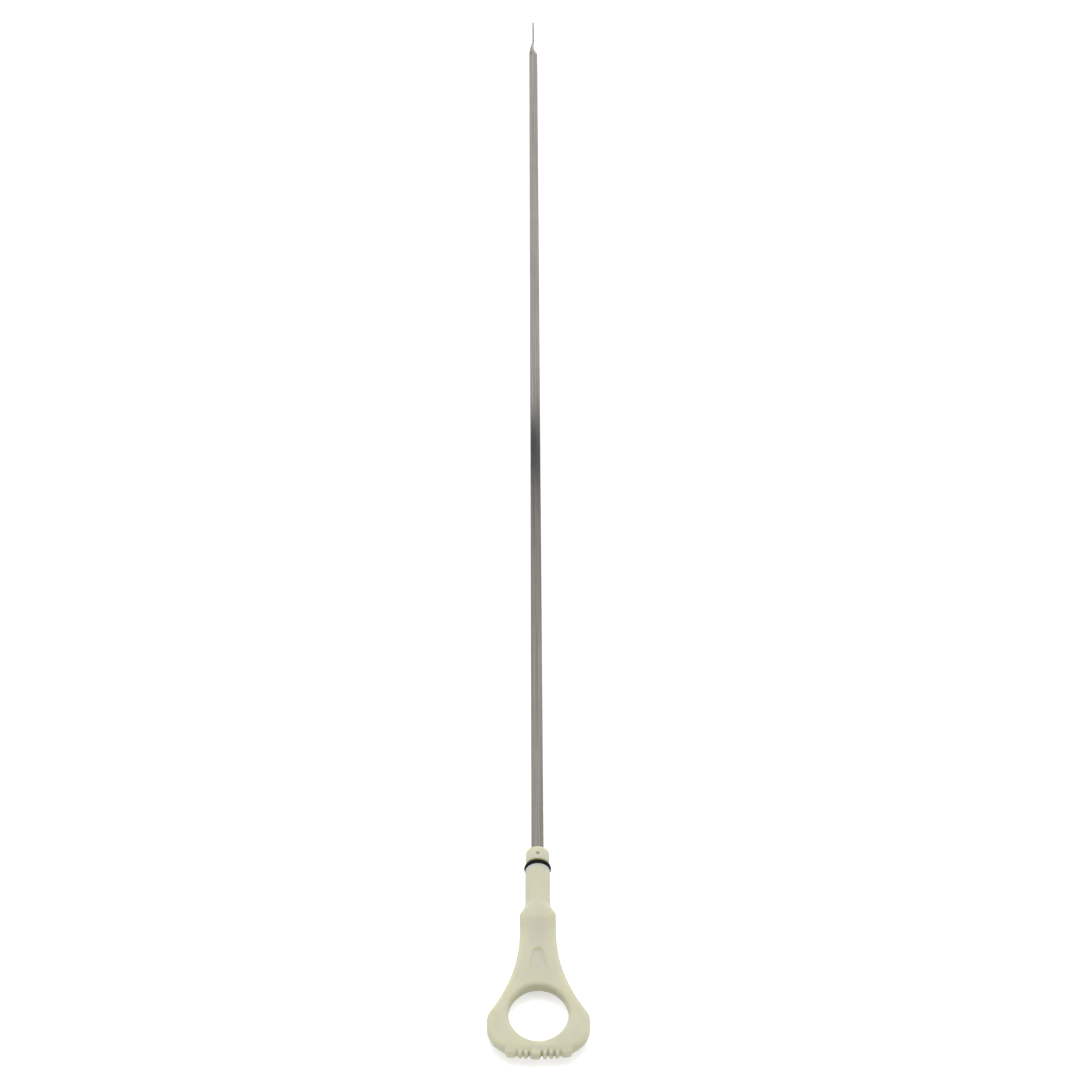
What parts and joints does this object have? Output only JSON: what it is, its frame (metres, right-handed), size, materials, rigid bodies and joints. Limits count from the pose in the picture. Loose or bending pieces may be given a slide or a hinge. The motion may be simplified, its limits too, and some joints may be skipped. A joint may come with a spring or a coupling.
{
  "type": "engine oil dipstick",
  "caption": "Engine oil dipstick: a moulded ivory handle with an oval finger loop, a stem with a rubber seal, and a long flat steel blade with a twisted tip.",
  "frame": {"origin": "on the stem's axis, at the foot of the shoulder that stops against the mouth of the guide tube", "axes": "+Y along the stick, from the handle to the tip of the blade; +Z out of the handle's front face"},
  "size_m": [0.0384, 0.7819, 0.0112],
  "materials": {
    "handle": "natural ivory nylon, satin as moulded",
    "blade": "bare spring steel, rolled along its length",
    "o_ring": "black rubber with a faint sheen"
  },
  "bodies": {
    "root": {"handle": "handle", "blade": "blade", "o_ring": "o_ring"}
  },
  "joints": []
}
